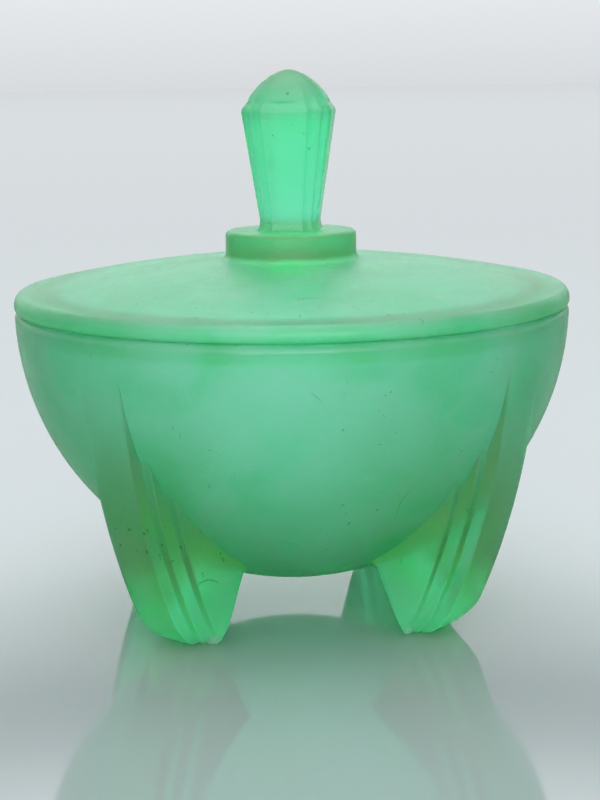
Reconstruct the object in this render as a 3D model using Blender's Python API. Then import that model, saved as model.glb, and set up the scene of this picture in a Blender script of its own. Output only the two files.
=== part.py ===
"""Pressed satin-glass powder jar: a bowl standing on four stepped fin feet, and its lift-off lid.

Metres, +Z up. The origin is on the jar's axis, on the surface that the feet stand on.
The feet stand on the diagonals, so the jar's front (-Y) looks between two of them.
"""

import math

import bpy

MM = 0.001

# Driving dimensions, in millimetres.
BOWL_RADIUS = 63.4            # outside of the hemispherical bowl
RIM_HEIGHT = 71.3             # top of the bowl's rim, also the hemisphere's centre
WALL = 4.3                    # glass thickness of the bowl at its rim
BASE_EXTRA = 0.8              # how much thicker the glass is at the bottom of the bowl
RIM_ROUND = 1.5               # rounding of the rim's outer edge
SEAT_GAP = 0.3                # clearance between the rim and the lid that sits on it

LID_RADIUS = 63.5
EDGE_BEVEL = 0.9              # bevel of the lid's lower edge
SHOULDER_WIDTH = 2.2          # width of the rounding between the lid's edge and its dome
LID_EDGE_HEIGHT = 3.4         # from the lid's seat to where its rounded edge meets the dome
DOME_RADIUS = 285.0           # radius of the shallow spherical dome
LID_WALL = 3.6
FLANGE_RADIUS = 57.6          # outside of the ring that drops into the bowl
FLANGE_THICKNESS = 3.0
FLANGE_DEPTH = 5.0

COLLAR_RADIUS = 15.0
COLLAR_TOP = 88.1
COLLAR_ROUND = 1.1

COLLAR_FILLET = 1.2

KNOB_TOP = 124.2
KNOB_SHOULDER = 114.6         # height of the knob's widest point
KNOB_RADIUS = 11.4            # to the ridges, at the shoulder
KNOB_NECK_RADIUS = 7.4        # to the ridges, above the collar
KNOB_NECK_HEIGHT = 90.5
KNOB_FACE_HALF_ANGLE = 27.0   # half of each broad face, in degrees
KNOB_TURN = -12.5             # how far the lid's knob is turned from facing -Y
KNOB_ROOT = 2.0               # how deep the knob's solid runs into the collar
KNOB_BEVEL = ((11.3, 115.5), (10.6, 116.6))    # from the shoulder in to the cap
KNOB_CAP = (                  # ridge radius and height, up the slightly pointed cap
    (10.1, 117.3),
    (9.3, 118.5),
    (8.1, 120.1),
    (6.6, 121.7),
    (4.4, 123.0),
    (2.2, 123.9),
)

FOOT_COUNT = 4
FIRST_FOOT_AZIMUTH = 45.0     # degrees, from -Y towards +X
SPINE_REACH = 63.0            # furthest reach of a foot's spine, just under the rim
SPINE_ARC_RADIUS = 157.0      # the spine's face is one arc in side view
SPINE_ARC_HEIGHT = 73.4       # height of that arc's centre
STEP_DEPTH = 3.1              # each step lies this much nearer the axis
STEP_HALF_WIDTHS = (5.65, 8.2, 10.6)
STEP_DRAFT = 0.35             # the steps' side walls lean out by this much
FLANK_HALF_WIDTH = 12.0       # half width of a foot at its inner edge
INNER_REACH = 31.0            # distance of a foot's inner face from the axis, where it meets the bowl
INNER_SLOPE = 0.55            # how fast that face leans out below the bowl
JUNCTION_HEIGHT = 16.0
ROOT_SLOPE = 2.0              # inside the glass of the bowl, the inner face leans in by this much
ROOT_DEPTH = 4.3              # least depth of a foot's solid inside the bowl's outside
FIN_HEIGHTS = (10.5, 13.0, 16.0, 19.0, 23.0, 28.0, 33.0, 38.0, 43.0, 48.0, 54.0, 61.0, 68.0)
TOE_HEIGHT = 8.0              # height over which the toe is rounded
TOE_LEVELS = 6
PAD_CENTRE = 37.2             # distance of a foot's flat pad from the axis
PAD_HALF_DEPTH = 2.0
PAD_HALF_WIDTH = 5.6

SEGMENTS = 72
GLASS_GREEN = (0.13, 0.56, 0.29, 1.0)


def clear_scene():
    """Remove whatever the file holds, so the jar is its only content."""
    for item in list(bpy.data.objects):
        bpy.data.objects.remove(item, do_unlink=True)


def glass_material(name):
    """Satin green glass: light passes, but its surface is matt."""
    material = bpy.data.materials.new(name)
    material.use_nodes = True
    shader = material.node_tree.nodes["Principled BSDF"]
    shader.inputs["Base Color"].default_value = GLASS_GREEN
    shader.inputs["Roughness"].default_value = 0.45
    shader.inputs["Metallic"].default_value = 0.0
    shader.inputs["Transmission Weight"].default_value = 0.8
    return material


def add_object(name, points, faces):
    """Make an object from points in millimetres."""
    mesh = bpy.data.meshes.new(name)
    mesh.from_pydata([tuple(value * MM for value in point) for point in points], [], faces)
    mesh.shade_smooth()
    mesh.set_sharp_from_angle(angle=math.radians(30))
    item = bpy.data.objects.new(name, mesh)
    bpy.context.collection.objects.link(item)
    return item


def stack_rings(rings, bottom_pole=None, top_pole=None):
    """Skin a stack of equal rings, listed upwards and counter-clockwise, and close its ends."""
    points = [point for ring in rings for point in ring]
    count = len(rings[0])
    faces = []
    for level in range(len(rings) - 1):
        low = level * count
        high = low + count
        for step in range(count):
            following = (step + 1) % count
            faces.append((low + step, low + following, high + following, high + step))
    top_ring = (len(rings) - 1) * count
    if bottom_pole is None:
        faces.append(tuple(reversed(range(count))))
    else:
        pole = len(points)
        points.append(bottom_pole)
        faces += [(pole, (step + 1) % count, step) for step in range(count)]
    if top_pole is None:
        faces.append(tuple(range(top_ring, top_ring + count)))
    else:
        pole = len(points)
        points.append(top_pole)
        faces += [(pole, top_ring + step, top_ring + (step + 1) % count) for step in range(count)]
    return points, faces


def turned_ring(radius, height):
    """One horizontal circle of the turned shapes."""
    turns = [2 * math.pi * step / SEGMENTS for step in range(SEGMENTS)]
    return [(radius * math.cos(turn), radius * math.sin(turn), height) for turn in turns]


def turned(name, profile):
    """Turn an outline of (radius, height), from a point on the axis to another, into a solid."""
    rings = [turned_ring(radius, height) for radius, height in profile[1:-1]]
    points, faces = stack_rings(rings, (0, 0, profile[0][1]), (0, 0, profile[-1][1]))
    return add_object(name, points, faces)


def arc(centre, radii, start, end, steps):
    """Points of an elliptical arc in (radius, height), angles in degrees from outward."""
    angles = [math.radians(start + (end - start) * step / steps) for step in range(steps + 1)]
    return [
        (centre[0] + radii[0] * math.cos(angle), centre[1] + radii[1] * math.sin(angle))
        for angle in angles
    ]


def apply_boolean(target, other, operation):
    """Combine target with another solid, which only shapes it."""
    modifier = target.modifiers.new(operation.lower() + "_" + other.name, "BOOLEAN")
    modifier.operation = operation
    modifier.solver = "EXACT"
    modifier.object = other
    other.hide_render = True
    other.display_type = "WIRE"


# Bowl

def bowl_outside():
    """Hemisphere with a rounded rim edge."""
    side = arc((0, RIM_HEIGHT), (BOWL_RADIUS, BOWL_RADIUS), -90, 0, 18)[:-1]
    edge_centre = (BOWL_RADIUS - RIM_ROUND, RIM_HEIGHT - RIM_ROUND)
    edge = arc(edge_centre, (RIM_ROUND, RIM_ROUND), 0, 90, 3)
    return turned("bowl_outside", side + edge + [(0, RIM_HEIGHT)])


def bowl_cavity():
    """The powder well, cut from above: a hemisphere that leaves a slightly thicker base."""
    radius = BOWL_RADIUS - WALL
    centre = RIM_HEIGHT + BASE_EXTRA
    above = RIM_HEIGHT + 3 * WALL
    side = arc((0, centre), (radius, radius), -90, 0, 16)
    return turned("bowl_cavity", side + [(radius, above), (0, above)])


def spine_reach(height):
    """Distance of the spine's face from the axis."""
    drop = SPINE_ARC_HEIGHT - height
    return SPINE_REACH - SPINE_ARC_RADIUS + math.sqrt(SPINE_ARC_RADIUS**2 - drop**2)


def bowl_reach(height):
    """Radius of the bowl's outside at a height."""
    return math.sqrt(max(0.0, BOWL_RADIUS**2 - (RIM_HEIGHT - height) ** 2))


def inner_reach(height):
    """Distance of a foot's inner face from the axis; higher up it lies inside the bowl's glass."""
    above = height - JUNCTION_HEIGHT
    if above < 0:
        return INNER_REACH - above * INNER_SLOPE
    return max(INNER_REACH - above * ROOT_SLOPE, bowl_reach(height) - ROOT_DEPTH)


def foot_half_section(height):
    """One half of a foot's horizontal section, from its spine's middle to its inner edge."""
    inner = inner_reach(height)
    faces = [spine_reach(height) - step * STEP_DEPTH for step in range(len(STEP_HALF_WIDTHS))]
    faces[-1] = max(faces[-1], inner + 1.0)
    section = [(faces[0], 0.0)]
    for face, following, half_width in zip(faces, faces[1:], STEP_HALF_WIDTHS):
        section.append((face, half_width))
        section.append((following, half_width + STEP_DRAFT))
    section.append((faces[-1], STEP_HALF_WIDTHS[-1]))
    section.append(((faces[-1] + inner) / 2, FLANK_HALF_WIDTH - 0.4))
    section.append((inner + 0.6, FLANK_HALF_WIDTH))
    section.append((inner - 0.6, FLANK_HALF_WIDTH - 1.6))
    section.append((inner - 1.6, 0.0))
    return section


def toe_section(height):
    """Section in the rounded toe: it swells from the flat pad to the full section."""
    full = foot_half_section(height)
    swell = math.sqrt(1 - (1 - height / TOE_HEIGHT) ** 2)
    middle = (full[0][0] + full[-1][0]) / 2
    half_depth = (full[0][0] - full[-1][0]) / 2
    section = []
    for reach, side in full:
        pad_reach = PAD_CENTRE + PAD_HALF_DEPTH * (reach - middle) / half_depth
        pad_side = PAD_HALF_WIDTH * side / FLANK_HALF_WIDTH
        section.append((pad_reach + swell * (reach - pad_reach), pad_side + swell * (side - pad_side)))
    return section


def foot(index):
    """A stepped fin from the table to just under the rim."""
    quarter_turns = [math.pi / 2 * level / TOE_LEVELS for level in range(TOE_LEVELS)]
    toe_heights = [TOE_HEIGHT * (1 - math.cos(turn)) for turn in quarter_turns]
    halves = [toe_section(height) for height in toe_heights]
    halves += [foot_half_section(height) for height in (TOE_HEIGHT, *FIN_HEIGHTS)]
    rings = []
    for height, half in zip((*toe_heights, TOE_HEIGHT, *FIN_HEIGHTS), halves):
        mirrored = [(reach, -side) for reach, side in reversed(half[1:-1])]
        rings.append([(reach, side, height) for reach, side in half + mirrored])
    points, faces = stack_rings(rings)
    item = add_object("foot_shape_%d" % (index + 1), points, faces)
    item.rotation_euler.z = math.radians(FIRST_FOOT_AZIMUTH + index * 360 / FOOT_COUNT - 90)
    return item


def footed_bowl():
    """Bowl and feet are one pressing."""
    bowl = bowl_outside()
    bowl.name = "footed_bowl"
    for index in range(FOOT_COUNT):
        apply_boolean(bowl, foot(index), "UNION")
    apply_boolean(bowl, bowl_cavity(), "DIFFERENCE")
    bowl.data.materials.append(glass_material("bowl_glass"))
    return bowl


# Lid

def dome_height(radius):
    """Height of the lid's outside, away from its edge and its collar."""
    crown = RIM_HEIGHT + SEAT_GAP + LID_EDGE_HEIGHT + LID_RADIUS**2 / (2 * DOME_RADIUS)
    return crown - radius**2 / (2 * DOME_RADIUS)


def lid_body():
    """Dome, collar, rounded edge and locating flange, as one turned outline from inside to top."""
    seat = RIM_HEIGHT + SEAT_GAP
    flange_inside = FLANGE_RADIUS - FLANGE_THICKNESS
    under = [(radius, dome_height(radius) - LID_WALL) for radius in (0, 14, 28, 40, 50)]
    flange = [
        (flange_inside - 0.4, seat + 0.4),
        (flange_inside + 0.4, seat - FLANGE_DEPTH),
        (FLANGE_RADIUS - 0.4, seat - FLANGE_DEPTH),
        (FLANGE_RADIUS, seat - FLANGE_DEPTH + 0.5),
        (FLANGE_RADIUS, seat),
    ]
    edge = [(LID_RADIUS - EDGE_BEVEL, seat), (LID_RADIUS - 0.2, seat + 0.5)]
    shoulder_centre = (LID_RADIUS - SHOULDER_WIDTH, seat + 1.2)
    shoulder_rise = dome_height(LID_RADIUS - SHOULDER_WIDTH) - shoulder_centre[1]
    shoulder = arc(shoulder_centre, (SHOULDER_WIDTH, shoulder_rise), 0, 78, 5)
    dome = [(radius, dome_height(radius)) for radius in (54, 46, 38, 30, 23, 18)]
    fillet = [
        (COLLAR_RADIUS + COLLAR_FILLET, dome_height(COLLAR_RADIUS) + 0.2),
        (COLLAR_RADIUS + 0.1, dome_height(COLLAR_RADIUS) + COLLAR_FILLET),
    ]
    collar_centre = (COLLAR_RADIUS - COLLAR_ROUND, COLLAR_TOP - COLLAR_ROUND)
    collar = arc(collar_centre, (COLLAR_ROUND, COLLAR_ROUND), 0, 90, 3)
    outline = under + flange + edge + shoulder + dome + fillet + collar
    return turned("lid", outline + [(0, COLLAR_TOP)])


def knob_angles():
    """Turns of the knob's ridges: four broad faces with two narrow flutes between each pair."""
    offsets = (-KNOB_FACE_HALF_ANGLE, KNOB_FACE_HALF_ANGLE, 45.0)
    return sorted(quarter * 90 + offset for quarter in range(4) for offset in offsets)


def knob_ring(radius, height):
    """One horizontal section of the knob, a twelve-sided polygon."""
    turns = [math.radians(angle + KNOB_TURN) for angle in knob_angles()]
    return [(radius * math.cos(turn), radius * math.sin(turn), height) for turn in turns]


def knob():
    """Tapering faceted stem, widest at its shoulder, under a domed cap."""
    stem = [
        (KNOB_NECK_RADIUS + 0.6, COLLAR_TOP - KNOB_ROOT),
        (KNOB_NECK_RADIUS + 0.5, COLLAR_TOP + 0.4),
        (KNOB_NECK_RADIUS, KNOB_NECK_HEIGHT),
        (KNOB_RADIUS, KNOB_SHOULDER),
    ]
    rings = [knob_ring(radius, height) for radius, height in (*stem, *KNOB_BEVEL, *KNOB_CAP)]
    points, faces = stack_rings(rings, None, (0, 0, KNOB_TOP))
    return add_object("knob_shape", points, faces)


def lid():
    """Lid, collar and knob are one pressing."""
    body = lid_body()
    apply_boolean(body, knob(), "UNION")
    body.data.materials.append(glass_material("lid_glass"))
    return body


def main():
    """Build the jar: two separate pressings, the lid resting in the bowl."""
    clear_scene()
    footed_bowl()
    lid()


main()
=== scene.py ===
"""Looks of the satin green glass powder jar: smooth pressed-glass meshes around the CAD frame."""

import math

import bpy
from mathutils import Matrix, Vector


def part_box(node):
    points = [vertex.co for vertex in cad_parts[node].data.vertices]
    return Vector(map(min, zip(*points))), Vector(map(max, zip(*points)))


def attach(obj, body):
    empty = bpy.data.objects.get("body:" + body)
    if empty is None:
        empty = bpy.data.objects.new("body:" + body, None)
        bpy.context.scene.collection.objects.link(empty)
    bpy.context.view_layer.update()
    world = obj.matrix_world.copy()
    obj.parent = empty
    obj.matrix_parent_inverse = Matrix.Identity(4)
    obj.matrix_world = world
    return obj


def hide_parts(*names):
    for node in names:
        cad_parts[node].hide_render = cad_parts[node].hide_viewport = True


MM = 0.001

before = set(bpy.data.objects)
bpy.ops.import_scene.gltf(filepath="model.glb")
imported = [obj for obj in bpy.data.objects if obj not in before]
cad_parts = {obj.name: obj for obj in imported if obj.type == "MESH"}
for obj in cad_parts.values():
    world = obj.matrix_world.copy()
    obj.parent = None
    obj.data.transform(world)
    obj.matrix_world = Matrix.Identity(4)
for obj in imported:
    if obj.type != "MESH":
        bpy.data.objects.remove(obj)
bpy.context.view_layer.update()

# Sizes in millimetres and angles in degrees. What the frame's boxes give is read from them.
LID_LOW, LID_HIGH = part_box("lid")
RIM_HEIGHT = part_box("footed_bowl")[1].z / MM
BOWL_RADIUS = 63.4
LID_RADIUS = LID_HIGH.x / MM
KNOB_TOP = LID_HIGH.z / MM
SEAT = RIM_HEIGHT + 0.3
FLANGE_DEPTH = SEAT - LID_LOW.z / MM

# Bowl: its glass is thicker at the base, and both edges of its rim are rounded.
WALL = 4.3
BASE_EXTRA = 0.8
RIM_ROUND = 1.5
RIM_START = -1.5
INNER_RIM_ROUND = 0.8
WELL_LIP_START = -2.2
WELL_LIP_END = 95
WELL_OPEN_ABOVE = 3

# Lid: an upright edge band, a rounded shoulder, a faint crease and a shallow dome.
LID_EDGE_HEIGHT = 3.4
LID_EDGE_ROUND = 1.0
LID_EDGE_INSET = 1.4
LID_BAND_HEIGHT = 1.3
SHOULDER_WIDTH = 2.2
CREASE_RADIUS = 61.2
CREASE_DEPTH = 0.05
DOME_RADIUS = 285.0
LID_WALL = 3.6

# The flange is the ring under the lid that drops into the bowl. Its root turns down from
# the underside through points given as (outward from its inner face, up from the underside).
FLANGE_RADIUS = 57.6
FLANGE_THICKNESS = 3.0
FLANGE_ROUND = 0.9
FLANGE_ROOT = ((-0.6, -1.0), (0.0, -2.2))
FLANGE_DRAFT = 0.4
FLANGE_FOOT_START = 0.8
FLANGE_FOOT_INSET = 1.4
FLANGE_TOP_GAP = 0.5

COLLAR_RADIUS = 15.0
COLLAR_TOP = 88.1
COLLAR_ROUND = 1.1
COLLAR_FILLET_PLACE = (1.6, 1.5)
COLLAR_FILLET_RADII = (1.55, 1.5)

# Knob: four broad faces and eight narrow flutes. The cap's outline follows two powers of
# its height, and its section rounds towards a circle, by a share at its base and a further
# share by its top.
KNOB_SHOULDER = 114.6
KNOB_RADIUS = 11.4
KNOB_NECK_RADIUS = 7.4
KNOB_NECK_HEIGHT = 90.5
KNOB_FACE_HALF_ANGLE = 27.0
KNOB_FLUTE_HOLLOW = 0.03
KNOB_TURN = -12.5
KNOB_CAP_EDGE = 10.2
KNOB_CAP_BASE = 116.8
KNOB_CAP_POWERS = (1.3, 0.6)
KNOB_CAP_ROUNDNESS = (0.5, 0.4)
KNOB_CIRCLE = 0.955

# Steps away from the collar's top, the shoulder and the cap's edge, as (outward, upward).
KNOB_FLARE = ((1.3, -1.0), (1.2, 0.05), (0.6, 0.3), (0.2, 0.9))
KNOB_BAND = ((0.0, 0.5), (-0.25, 1.1))
KNOB_CAP_LIP = ((0.2, -0.3), (0.0, 0.0))

# Feet: the spine follows an arc, and each step stands back from the one before it.
FOOT_AZIMUTHS = (45.0, 135.0, 225.0, 315.0)
SPINE_REACH = 63.0
SPINE_ARC_RADIUS = 157.0
SPINE_ARC_HEIGHT = 73.4
STEP_DEPTH = 3.1
STEP_HALF_WIDTHS = (5.65, 8.2, 10.6)
STEP_DRAFT = 0.35
FLANK_HALF_WIDTH = 12.0
FLANK_DRAFT = 0.4
FLANK_LEAST_DEPTH = 1.0
INNER_EDGE = 0.3
INNER_CROWN = 1.6
INNER_REACH = 31.0
INNER_SLOPE = 0.55
ROOT_SLOPE = 2.0
ROOT_DEPTH = 7.0
JUNCTION_HEIGHT = 16.0
FOOT_TOP = 68.0
TOE_HEIGHT = 8.0
PAD_CENTRE = 37.2
PAD_HALF_DEPTH = 2.0
PAD_HALF_WIDTH = 5.6

# Rounding of the corners of a foot's section, as corner: (radius, steps).
FOOT_CORNERS = {
    1: (0.45, 3),
    2: (0.4, 2),
    3: (0.4, 3),
    4: (0.4, 2),
    5: (0.6, 3),
    6: (3.0, 3),
    7: (3.2, 5),
}
CORNER_SHARE = 0.45

SEGMENTS = 256
BOWL_STEPS = 96
WELL_STEPS = 80
RIM_STEPS = 8
LIP_STEPS = 5
TOE_STEPS = 14
FIN_STEPS = 61
SHOULDER_STEPS = 12
KNOB_FACE_STEPS = 10
KNOB_STEM_STEPS = 12
KNOB_CAP_STEPS = 24
SHARP_ANGLE = 32


# Outlines and solids

def arc(centre, radii, start, end, steps):
    """Points of an elliptical arc in (radius, height), angles in degrees from outward."""
    angles = [math.radians(start + (end - start) * step / steps) for step in range(steps + 1)]
    return [
        (centre[0] + radii[0] * math.cos(angle), centre[1] + radii[1] * math.sin(angle))
        for angle in angles
    ]


def add_object(name, points, faces):
    """Mesh object from points in millimetres."""
    mesh = bpy.data.meshes.new(name)
    mesh.from_pydata([tuple(value * MM for value in point) for point in points], [], faces)
    item = bpy.data.objects.new(name, mesh)
    bpy.context.scene.collection.objects.link(item)
    return item


def stack_rings(rings, bottom_pole=None, top_pole=None):
    """Skin equal rings, listed upwards and counter-clockwise, and close the ends."""
    points = [point for ring in rings for point in ring]
    count = len(rings[0])
    faces = []
    for level in range(len(rings) - 1):
        low = level * count
        high = low + count
        for step in range(count):
            following = (step + 1) % count
            faces.append((low + step, low + following, high + following, high + step))
    top_ring = (len(rings) - 1) * count
    if bottom_pole is None:
        faces.append(tuple(reversed(range(count))))
    else:
        points.append(bottom_pole)
        pole = len(points) - 1
        faces += [(pole, (step + 1) % count, step) for step in range(count)]
    if top_pole is None:
        faces.append(tuple(range(top_ring, top_ring + count)))
    else:
        points.append(top_pole)
        pole = len(points) - 1
        faces += [(pole, top_ring + step, top_ring + (step + 1) % count) for step in range(count)]
    return points, faces


def turned(name, profile):
    """Turn an outline that starts and ends on the axis into a closed solid."""
    turns = [2 * math.pi * step / SEGMENTS for step in range(SEGMENTS)]
    rings = [
        [(radius * math.cos(turn), radius * math.sin(turn), height) for turn in turns]
        for radius, height in profile[1:-1]
    ]
    points, faces = stack_rings(rings, (0, 0, profile[0][1]), (0, 0, profile[-1][1]))
    return add_object(name, points, faces)


def combine(target, other, operation):
    """Boolean that is applied at once; the other solid is removed."""
    modifier = target.modifiers.new(operation, "BOOLEAN")
    modifier.operation = operation
    modifier.solver = "EXACT"
    modifier.object = other
    graph = bpy.context.evaluated_depsgraph_get()
    mesh = bpy.data.meshes.new_from_object(target.evaluated_get(graph))
    target.modifiers.clear()
    target.data = mesh
    bpy.data.objects.remove(other)


def round_corners(outline, corners):
    """Replace each listed corner of an open outline by a short curve: {index: (radius, steps)}."""
    rounded = []
    for index, point in enumerate(outline):
        if index not in corners:
            rounded.append(point)
            continue
        radius, steps = corners[index]
        here = Vector(point)
        before = Vector(outline[index - 1]) - here
        after = Vector(outline[index + 1]) - here
        start = here + before.normalized() * min(radius, before.length * CORNER_SHARE)
        end = here + after.normalized() * min(radius, after.length * CORNER_SHARE)
        for step in range(steps + 1):
            share = step / steps
            curve = start * (1 - share) ** 2 + here * 2 * share * (1 - share) + end * share**2
            rounded.append((curve.x, curve.y))
    return rounded


# Bowl

def bowl_outside():
    """Hemisphere with a rounded rim edge."""
    side = arc((0, RIM_HEIGHT), (BOWL_RADIUS, BOWL_RADIUS), -90, RIM_START, BOWL_STEPS)
    edge_centre = (BOWL_RADIUS - RIM_ROUND, RIM_HEIGHT - RIM_ROUND)
    edge = arc(edge_centre, (RIM_ROUND, RIM_ROUND), 0, 90, RIM_STEPS)
    return turned("satin_bowl", side + edge + [(0, RIM_HEIGHT)])


def bowl_cavity():
    """The powder well: a hemisphere that leaves a slightly thicker base and a rounded lip."""
    radius = BOWL_RADIUS - WALL
    centre = RIM_HEIGHT + BASE_EXTRA
    side = arc((0, centre), (radius, radius), -90, WELL_LIP_START, WELL_STEPS)
    lip_radius = math.sqrt(radius**2 - (BASE_EXTRA + INNER_RIM_ROUND) ** 2)
    lip_centre = (lip_radius + INNER_RIM_ROUND, RIM_HEIGHT - INNER_RIM_ROUND)
    lip_radii = (INNER_RIM_ROUND, INNER_RIM_ROUND)
    lip = arc(lip_centre, lip_radii, 180, WELL_LIP_END, LIP_STEPS)
    above = RIM_HEIGHT + WELL_OPEN_ABOVE
    return turned("cavity", side + lip + [(lip[-1][0], above), (0, above)])


def spine_reach(height):
    """Distance of a foot's spine face from the axis."""
    drop = SPINE_ARC_HEIGHT - height
    return SPINE_REACH - SPINE_ARC_RADIUS + math.sqrt(SPINE_ARC_RADIUS**2 - drop**2)


def inner_reach(height):
    """Distance of a foot's inner face from the axis; it ends inside the bowl's glass."""
    if height < JUNCTION_HEIGHT:
        return INNER_REACH + (JUNCTION_HEIGHT - height) * INNER_SLOPE
    inside_bowl = math.sqrt(BOWL_RADIUS**2 - (RIM_HEIGHT - height) ** 2) - ROOT_DEPTH
    return max(INNER_REACH - (height - JUNCTION_HEIGHT) * ROOT_SLOPE, inside_bowl)


def foot_half_section(height):
    """One half of a foot's horizontal section, from its spine's middle to its inner edge."""
    reach = spine_reach(height)
    inner = inner_reach(height)
    faces = [reach - step * STEP_DEPTH for step in range(3)]
    last_face = max(faces[2], inner + FLANK_LEAST_DEPTH)
    outline = [
        (reach, 0.0),
        (faces[0], STEP_HALF_WIDTHS[0]),
        (faces[1], STEP_HALF_WIDTHS[0] + STEP_DRAFT),
        (faces[1], STEP_HALF_WIDTHS[1]),
        (last_face, STEP_HALF_WIDTHS[1] + STEP_DRAFT),
        (last_face, STEP_HALF_WIDTHS[2]),
        ((last_face + inner) / 2, FLANK_HALF_WIDTH - FLANK_DRAFT),
        (inner + INNER_EDGE, FLANK_HALF_WIDTH),
        (inner - INNER_CROWN, 0.0),
    ]
    return round_corners(outline, FOOT_CORNERS)


def toe_section(height):
    """Section in the rounded toe: it swells from the flat pad to the full section."""
    full = foot_half_section(height)
    swell = math.sqrt(1 - (1 - height / TOE_HEIGHT) ** 2)
    middle = (full[0][0] + full[-1][0]) / 2
    half_depth = (full[0][0] - full[-1][0]) / 2
    section = []
    for reach, side in full:
        pad_reach = PAD_CENTRE + PAD_HALF_DEPTH * (reach - middle) / half_depth
        pad_side = PAD_HALF_WIDTH * side / FLANK_HALF_WIDTH
        swollen_reach = pad_reach + swell * (reach - pad_reach)
        swollen_side = pad_side + swell * (side - pad_side)
        section.append((swollen_reach, swollen_side))
    return section


def foot(azimuth):
    """A stepped fin from the table to just under the rim."""
    toe_heights = [
        TOE_HEIGHT * (1 - math.cos(math.pi / 2 * step / TOE_STEPS)) for step in range(TOE_STEPS)
    ]
    fin_heights = [
        TOE_HEIGHT + (FOOT_TOP - TOE_HEIGHT) * step / FIN_STEPS for step in range(FIN_STEPS + 1)
    ]
    turn = Matrix.Rotation(math.radians(azimuth - 90), 3, "Z")
    rings = []
    for height in toe_heights + fin_heights:
        half = toe_section(height) if height < TOE_HEIGHT else foot_half_section(height)
        outline = half + [(reach, -side) for reach, side in reversed(half[1:-1])]
        rings.append([tuple(turn @ Vector((reach, side, height))) for reach, side in outline])
    points, faces = stack_rings(rings)
    return add_object("foot", points, faces)


def satin_bowl():
    """Bowl and feet, one pressing."""
    bowl = bowl_outside()
    for azimuth in FOOT_AZIMUTHS:
        combine(bowl, foot(azimuth), "UNION")
    combine(bowl, bowl_cavity(), "DIFFERENCE")
    return bowl


# Lid

def dome_height(radius):
    """Height of the lid's outside, away from its edge and its collar."""
    crown = SEAT + LID_EDGE_HEIGHT + LID_RADIUS**2 / (2 * DOME_RADIUS)
    return crown - radius**2 / (2 * DOME_RADIUS)


def lid_outline():
    """Underside, flange, rounded edge, dome and collar: one outline from axis to axis."""
    flange_inside = FLANGE_RADIUS - FLANGE_THICKNESS
    under = [(radius, dome_height(radius) - LID_WALL) for radius in range(0, 52, 3)]
    last = under[-1]
    flange_foot = SEAT - FLANGE_DEPTH
    flange_radii = (FLANGE_ROUND, FLANGE_ROUND)
    foot_height = flange_foot + FLANGE_ROUND
    flange = [(flange_inside + out, last[1] + up) for out, up in FLANGE_ROOT]
    flange.append((flange_inside + FLANGE_DRAFT, flange_foot + FLANGE_FOOT_START))
    flange += arc((flange_inside + FLANGE_FOOT_INSET, foot_height), flange_radii, 180, 270, 4)
    flange += arc((FLANGE_RADIUS - FLANGE_ROUND, foot_height), flange_radii, -90, 0, 4)
    flange += [(FLANGE_RADIUS, SEAT - FLANGE_TOP_GAP), (FLANGE_RADIUS + FLANGE_DRAFT, SEAT)]

    edge_centre = (LID_RADIUS - LID_EDGE_ROUND, SEAT + LID_EDGE_ROUND)
    edge = [(LID_RADIUS - LID_EDGE_INSET, SEAT)]
    edge += arc(edge_centre, (LID_EDGE_ROUND, LID_EDGE_ROUND), -75, 0, 5)
    shoulder_centre = (LID_RADIUS - SHOULDER_WIDTH, SEAT + LID_BAND_HEIGHT)
    shoulder_rise = dome_height(LID_RADIUS - SHOULDER_WIDTH) - shoulder_centre[1]
    shoulder = arc(shoulder_centre, (SHOULDER_WIDTH, shoulder_rise), 6, 74, SHOULDER_STEPS)

    dome = [(CREASE_RADIUS, dome_height(CREASE_RADIUS) - CREASE_DEPTH)]
    dome += [(radius, dome_height(radius)) for radius in range(60, 17, -2)]
    fillet_radius = COLLAR_RADIUS + COLLAR_FILLET_PLACE[0]
    fillet_centre = (fillet_radius, dome_height(fillet_radius) + COLLAR_FILLET_PLACE[1])
    fillet = arc(fillet_centre, COLLAR_FILLET_RADII, 262, 182, 6)
    collar_centre = (COLLAR_RADIUS - COLLAR_ROUND, COLLAR_TOP - COLLAR_ROUND)
    collar = arc(collar_centre, (COLLAR_ROUND, COLLAR_ROUND), 0, 90, 8)
    return under + flange + edge + shoulder + dome + fillet + collar + [(0, COLLAR_TOP)]


def knob_corners():
    """Turns of the knob's ridges: four broad faces with two narrow flutes between each pair."""
    offsets = (-KNOB_FACE_HALF_ANGLE, KNOB_FACE_HALF_ANGLE, 45.0)
    return sorted(quarter * 90 + offset + KNOB_TURN for quarter in range(4) for offset in offsets)


def knob_ring(radius, height, roundness=0.0):
    """One section of the knob: flat faces between ridges, hollowed flutes, rounder if asked."""
    turns = knob_corners()
    ring = []
    for index, turn in enumerate(turns):
        span = (turns[(index + 1) % len(turns)] - turn) % 360
        start = Vector((math.cos(math.radians(turn)), math.sin(math.radians(turn))))
        end = Vector((math.cos(math.radians(turn + span)), math.sin(math.radians(turn + span))))
        hollow = KNOB_FLUTE_HOLLOW if span < KNOB_FACE_HALF_ANGLE else 0.0
        for step in range(KNOB_FACE_STEPS):
            share = step / KNOB_FACE_STEPS
            point = start.lerp(end, share) * (1 - hollow * 4 * share * (1 - share))
            circle = point.normalized() * KNOB_CIRCLE
            point = point.lerp(circle, roundness) * radius
            ring.append((point.x, point.y, height))
    return ring


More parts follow.
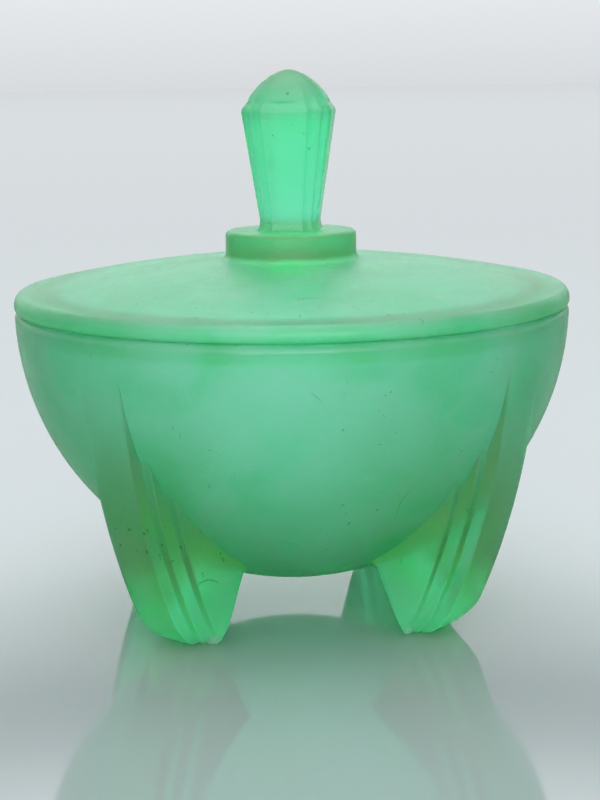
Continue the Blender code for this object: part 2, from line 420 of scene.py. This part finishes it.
def knob():
    """Tapering faceted stem, widest at its shoulder, with a bevel and a slightly pointed cap."""
    stem = [(KNOB_NECK_RADIUS + out, COLLAR_TOP + up) for out, up in KNOB_FLARE]
    stem.append((KNOB_NECK_RADIUS, KNOB_NECK_HEIGHT))
    for step in range(1, KNOB_STEM_STEPS + 1):
        share = step / KNOB_STEM_STEPS
        radius = KNOB_NECK_RADIUS + (KNOB_RADIUS - KNOB_NECK_RADIUS) * share
        stem.append((radius, KNOB_NECK_HEIGHT + (KNOB_SHOULDER - KNOB_NECK_HEIGHT) * share))
    bevel = [(KNOB_RADIUS + out, KNOB_SHOULDER + up) for out, up in KNOB_BAND]
    bevel += [(KNOB_CAP_EDGE + out, KNOB_CAP_BASE + up) for out, up in KNOB_CAP_LIP]
    rings = [knob_ring(radius, height) for radius, height in stem + bevel]
    rise_power, width_power = KNOB_CAP_POWERS
    round_at_base, round_with_rise = KNOB_CAP_ROUNDNESS
    cap_rise = KNOB_TOP - KNOB_CAP_BASE
    for step in range(1, KNOB_CAP_STEPS):
        share = math.sin(math.pi / 2 * step / KNOB_CAP_STEPS)
        radius = KNOB_CAP_EDGE * (1 - share**rise_power) ** width_power
        roundness = round_at_base + round_with_rise * share
        rings.append(knob_ring(radius, KNOB_CAP_BASE + cap_rise * share, roundness))
    points, faces = stack_rings(rings, None, (0, 0, KNOB_TOP))
    return add_object("knob", points, faces)


def satin_lid():
    """Lid, collar and knob, one pressing."""
    body = turned("satin_lid", lid_outline())
    combine(body, knob(), "UNION")
    return body


# Glass

# Colour that each surface lets through: clear and cloudy patches, fine frosting, dark marks.
CLEAR_TINT = (1.0, 1.0, 1.0, 1)
CLOUD_TINT = (0.6, 0.92, 0.73, 1)
FROST_TINT = (0.74, 0.95, 0.84, 1)
MARK_TINT = (0.05, 0.16, 0.09, 1)
FROST_SHARE = 0.35
MARK_SHARE = 0.65

# Scales of the noises, per metre.
CLOUD_SCALE = 60.0
FROST_SCALE = 420.0
GRAIN_SCALE = 1500.0
SCRATCH_SCALE = 45.0
SCRATCH_KEEP_SCALE = 140.0
SPECK_SCALE = 650.0
SPECK_GROUP_SCALE = 50.0

# Noise values, or distances from a noise's middle, between which each mask fades.
CLOUD_FADE = (0.37, 0.56)
FROST_FADE = (0.3, 0.7)
SCRATCH_FADE = (0.001, 0.004)
SCRATCH_KEEP_FADE = (0.66, 0.74)
SPECK_FADE = (0.69, 0.73)
SPECK_GROUP_FADE = (0.54, 0.6)

GLASS_ROUGHNESS = 0.30
CLOUD_ROUGHNESS = 0.08
FROST_ROUGHNESS = 0.08
GRAIN_STRENGTH = 0.25
GRAIN_DEPTH = 0.0003
GLASS_IOR = 1.4
GLASS_TRANSMISSION = 0.94
BODY_COLOUR = (0.05, 0.94, 0.70, 1)
BODY_DENSITY = 174.0

# Places of the colour sockets on a mix node, whose sockets for floats share their names.
MIX_FIRST = 6
MIX_SECOND = 7
MIX_RESULT = 2


def node(tree, kind, **settings):
    """Add a shader node; settings name its properties, or its inputs when written in_..."""
    item = tree.nodes.new(kind)
    for key, value in settings.items():
        if key.startswith("in_"):
            item.inputs[key[3:].replace("_", " ")].default_value = value
        else:
            setattr(item, key, value)
    return item


def mapped(tree, source, low, high, to_low, to_high):
    """Remap a value, clamped."""
    item = node(
        tree,
        "ShaderNodeMapRange",
        in_From_Min=low,
        in_From_Max=high,
        in_To_Min=to_low,
        in_To_Max=to_high,
    )
    tree.links.new(source, item.inputs["Value"])
    return item.outputs["Result"]


def combined(tree, operation, first, second):
    """Maths on two values."""
    item = node(tree, "ShaderNodeMath", operation=operation)
    for socket, value in zip(item.inputs, (first, second)):
        if isinstance(value, float):
            socket.default_value = value
        else:
            tree.links.new(value, socket)
    return item.outputs["Value"]


def noise(tree, place, scale, detail=2.0, distortion=0.0):
    """Noise value at a scale per metre."""
    item = node(
        tree,
        "ShaderNodeTexNoise",
        in_Scale=scale,
        in_Detail=detail,
        in_Distortion=distortion,
    )
    tree.links.new(place, item.inputs["Vector"])
    return item.outputs["Fac"]


def scratch_mask(tree, place):
    """Thin curved scratches, kept only in a few places."""
    waves = noise(tree, place, SCRATCH_SCALE, 0.0, 0.3)
    lines = combined(tree, "ABSOLUTE", combined(tree, "SUBTRACT", waves, 0.5), 0.0)
    thin = mapped(tree, lines, *SCRATCH_FADE, 1.0, 0.0)
    groups = noise(tree, place, SCRATCH_KEEP_SCALE, 0.0)
    kept = mapped(tree, groups, *SCRATCH_KEEP_FADE, 0.0, 1.0)
    return combined(tree, "MULTIPLY", thin, kept)


def speck_mask(tree, place):
    """Small dark irregular specks in the frosted surface, gathered in loose groups."""
    dots = mapped(tree, noise(tree, place, SPECK_SCALE, 2.0), *SPECK_FADE, 0.0, 1.0)
    groups = noise(tree, place, SPECK_GROUP_SCALE, 1.0)
    kept = mapped(tree, groups, *SPECK_GROUP_FADE, 0.0, 1.0)
    return combined(tree, "MULTIPLY", dots, kept)


def blend(tree, factor, first, second):
    """Mix two colours, each a colour or a socket."""
    item = node(tree, "ShaderNodeMix", data_type="RGBA")
    tree.links.new(factor, item.inputs["Factor"])
    for place, value in ((MIX_FIRST, first), (MIX_SECOND, second)):
        if isinstance(value, tuple):
            item.inputs[place].default_value = value
        else:
            tree.links.new(value, item.inputs[place])
    return item.outputs[MIX_RESULT]


def satin_glass(name):
    """Acid-frosted green glass: rough on every face, its colour deeper where it is thicker."""
    material = bpy.data.materials.new(name)
    material.use_nodes = True
    tree = material.node_tree
    shader = tree.nodes["Principled BSDF"]
    place = node(tree, "ShaderNodeTexCoord").outputs["Object"]
    cloud = mapped(tree, noise(tree, place, CLOUD_SCALE, 5.0, 0.3), *CLOUD_FADE, 0.0, 1.0)
    frost = mapped(tree, noise(tree, place, FROST_SCALE, 4.0), *FROST_FADE, 0.0, 1.0)
    marks = combined(tree, "MAXIMUM", scratch_mask(tree, place), speck_mask(tree, place))

    tint = blend(tree, cloud, CLOUD_TINT, CLEAR_TINT)
    tint = blend(tree, combined(tree, "MULTIPLY", frost, FROST_SHARE), tint, FROST_TINT)
    tint = blend(tree, combined(tree, "MULTIPLY", marks, MARK_SHARE), tint, MARK_TINT)
    tree.links.new(tint, shader.inputs["Base Color"])

    cloudy = combined(tree, "MULTIPLY", cloud, CLOUD_ROUGHNESS)
    frosty = combined(tree, "MULTIPLY", frost, FROST_ROUGHNESS)
    roughness = combined(tree, "ADD", frosty, combined(tree, "ADD", cloudy, GLASS_ROUGHNESS))
    tree.links.new(roughness, shader.inputs["Roughness"])

    bump = node(tree, "ShaderNodeBump", in_Strength=GRAIN_STRENGTH, in_Distance=GRAIN_DEPTH)
    tree.links.new(noise(tree, place, GRAIN_SCALE, 3.0), bump.inputs["Height"])
    tree.links.new(bump.outputs["Normal"], shader.inputs["Normal"])

    shader.inputs["IOR"].default_value = GLASS_IOR
    shader.inputs["Transmission Weight"].default_value = GLASS_TRANSMISSION
    body = node(tree, "ShaderNodeVolumeAbsorption", in_Color=BODY_COLOUR, in_Density=BODY_DENSITY)
    tree.links.new(body.outputs["Volume"], tree.nodes["Material Output"].inputs["Volume"])
    return material


def dress(item, material, body, cad_node):
    """Give a glass piece its material and put it in place of its CAD node."""
    item.data.materials.clear()
    item.data.materials.append(material)
    item.data.shade_smooth()
    item.data.set_sharp_from_angle(angle=math.radians(SHARP_ANGLE))
    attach(item, body)
    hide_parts(cad_node)


# Stage: floor, light and camera

FLOOR_HALF = 12.0
FLOOR_COLOUR = (0.22, 0.25, 0.25, 1)
FLOOR_ROUGHNESS = 0.07
FLOOR_IOR = 1.8

# Brightness of the surroundings, as (sine of the elevation, brightness).
SKY = (
    (0.0, 0.73),
    (0.1, 0.93),
    (0.17, 1.15),
    (0.29, 1.6),
    (0.33, 1.1),
    (0.36, 0.4),
    (0.385, 0.5),
    (0.42, 1.5),
    (0.5, 1.0),
    (0.7, 1.2),
    (1.0, 3.0),
)
SKY_HIGHEST = 3.0
SKY_COLOUR = (0.965, 1.0, 1.03, 1)
SIDE_SHARE = 0.5
SIDE_FADE = (0.3, 0.9)

# Camera: distances in millimetres, its azimuth in degrees, its other turns in radians.
CAMERA_AZIMUTH = -5.9
CAMERA_DISTANCE = 379.3
CAMERA_HEIGHT = 123.8
CAMERA_SIDE = 0.6
CAMERA_TILT = 0.197
CAMERA_ROLL = 0.0147
CAMERA_YAW = 0.0025
SENSOR = 36.0
LENS = 98.97


def build_floor():
    """Pale polished table top that mirrors the jar softly."""
    mesh = bpy.data.meshes.new("floor")
    corners = [
        (-FLOOR_HALF, -FLOOR_HALF, 0),
        (FLOOR_HALF, -FLOOR_HALF, 0),
        (FLOOR_HALF, FLOOR_HALF, 0),
        (-FLOOR_HALF, FLOOR_HALF, 0),
    ]
    mesh.from_pydata(corners, [], [(0, 1, 2, 3)])
    floor = bpy.data.objects.new("floor", mesh)
    bpy.context.scene.collection.objects.link(floor)
    material = bpy.data.materials.new("pale_floor")
    material.use_nodes = True
    shader = material.node_tree.nodes["Principled BSDF"]
    shader.inputs["Base Color"].default_value = FLOOR_COLOUR
    shader.inputs["Roughness"].default_value = FLOOR_ROUGHNESS
    shader.inputs["IOR"].default_value = FLOOR_IOR
    mesh.materials.append(material)


def build_world():
    """Soft pale surroundings in bands by elevation, dimmer to the sides."""
    world = bpy.data.worlds.new("studio")
    bpy.context.scene.world = world
    world.use_nodes = True
    tree = world.node_tree
    split = node(tree, "ShaderNodeSeparateXYZ")
    tree.links.new(node(tree, "ShaderNodeTexCoord").outputs["Generated"], split.inputs["Vector"])
    ramp = node(tree, "ShaderNodeFloatCurve")
    curve = ramp.mapping.curves[0]
    ramp.mapping.clip_max_y = SKY_HIGHEST
    while len(curve.points) < len(SKY):
        curve.points.new(0.5, 0.5)
    for point, (sine, value) in zip(curve.points, SKY):
        point.location = (sine, value)
        point.handle_type = "VECTOR"
    ramp.mapping.update()
    tree.links.new(split.outputs["Z"], ramp.inputs["Value"])
    aside = combined(tree, "ABSOLUTE", split.outputs["X"], 0.0)
    share = mapped(tree, aside, *SIDE_FADE, 1.0, SIDE_SHARE)
    strength = combined(tree, "MULTIPLY", ramp.outputs["Value"], share)
    background = tree.nodes["Background"]
    background.inputs["Color"].default_value = SKY_COLOUR
    tree.links.new(strength, background.inputs["Strength"])


def add_softbox(name, place, target, size, power):
    """Rectangular area light aimed at a point, in metres."""
    light = bpy.data.lights.new(name, "AREA")
    light.shape = "RECTANGLE"
    light.size, light.size_y = size
    light.energy = power
    item = bpy.data.objects.new(name, light)
    item.location = place
    aim = Vector(target) - Vector(place)
    item.rotation_euler = aim.to_track_quat("-Z", "Y").to_euler()
    bpy.context.scene.collection.objects.link(item)


def build_camera():
    """Camera as high as the knob's top, a little to the left of the jar's front."""
    data = bpy.data.cameras.new("camera")
    data.sensor_fit = "HORIZONTAL"
    data.sensor_width = SENSOR
    data.lens = LENS
    data.clip_start = 0.01
    data.clip_end = 100.0
    camera = bpy.data.objects.new("camera", data)
    turn = Matrix.Rotation(math.radians(CAMERA_AZIMUTH), 4, "Z")
    place = Matrix.Translation((CAMERA_SIDE * MM, -CAMERA_DISTANCE * MM, CAMERA_HEIGHT * MM))
    yaw = Matrix.Rotation(-CAMERA_YAW, 4, "Z")
    tilt = Matrix.Rotation(math.pi / 2 - CAMERA_TILT, 4, "X")
    roll = Matrix.Rotation(-CAMERA_ROLL, 4, "Z")
    camera.matrix_world = turn @ place @ yaw @ tilt @ roll
    bpy.context.scene.collection.objects.link(camera)
    bpy.context.scene.camera = camera


glass = satin_glass("satin_green_glass")
dress(satin_bowl(), glass, "bowl", "footed_bowl")
dress(satin_lid(), glass, "lid", "lid")
build_floor()
build_world()
add_softbox("top_light", place=(0.0, -0.1, 1.4), target=(0, 0, 0.06), size=(1.4, 1.4), power=5)
add_softbox("front_light", place=(-0.1, -1.0, 0.4), target=(0, 0, 0.04), size=(1.1, 0.7), power=8)
build_camera()
bpy.context.scene.view_settings.view_transform = "Standard"
